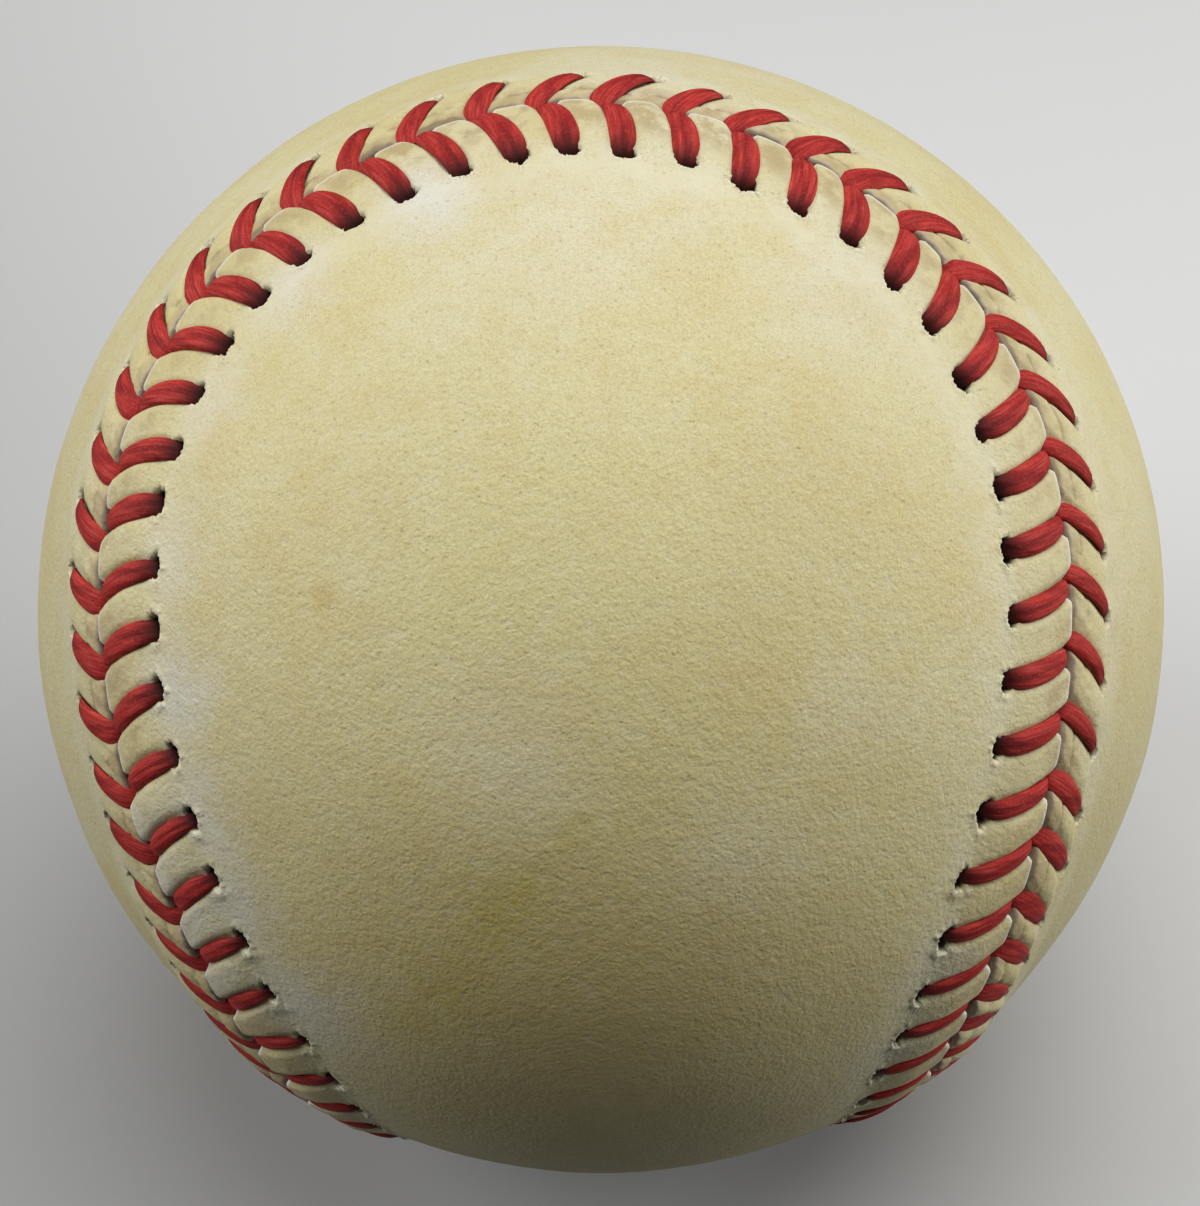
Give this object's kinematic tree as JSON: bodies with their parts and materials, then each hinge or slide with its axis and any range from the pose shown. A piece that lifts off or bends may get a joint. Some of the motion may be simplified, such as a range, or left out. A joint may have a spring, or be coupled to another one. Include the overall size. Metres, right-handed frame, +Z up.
{
  "type": "baseball",
  "caption": "Leather baseball: cushioned cork pill, wool and cotton windings, and a cover of figure-eight panels laced together along a raised seam, for throwing and batting.",
  "frame": {"origin": "centre of the ball", "axes": "+Z up as the ball lies in the picture, -Y towards the viewer, +X to the viewer's right; the seam's axis leans 30 degrees from +Z towards +Y"},
  "size_m": [0.0744, 0.0744, 0.0752],
  "materials": {
    "cork": "pressed cork and rubber grains",
    "black_rubber": "moulded matte",
    "red_rubber": "moulded matte",
    "cement": "dried rubber cement",
    "grey_wool": "wound wool yarn",
    "white_wool": "wound wool yarn",
    "white_cotton": "wound cotton thread",
    "leather": "aged, yellowed full-grain cowhide",
    "red_thread": "worn waxed thread"
  },
  "bodies": {
    "root": {"cork_core": "cork", "black_rubber_shell_upper": "black_rubber", "black_rubber_shell_lower": "black_rubber", "red_rubber_washer": "red_rubber", "red_rubber_layer": "red_rubber", "pill_cement_coat": "cement", "first_winding": "grey_wool", "second_winding": "white_wool", "third_winding": "grey_wool", "finishing_winding": "white_cotton", "cover_cement_front": "cement", "cover_cement_back": "cement", "cover_panel_front": "leather", "cover_panel_back": "leather", "seam_thread_first": "red_thread", "seam_thread_second": "red_thread"}
  },
  "joints": []
}
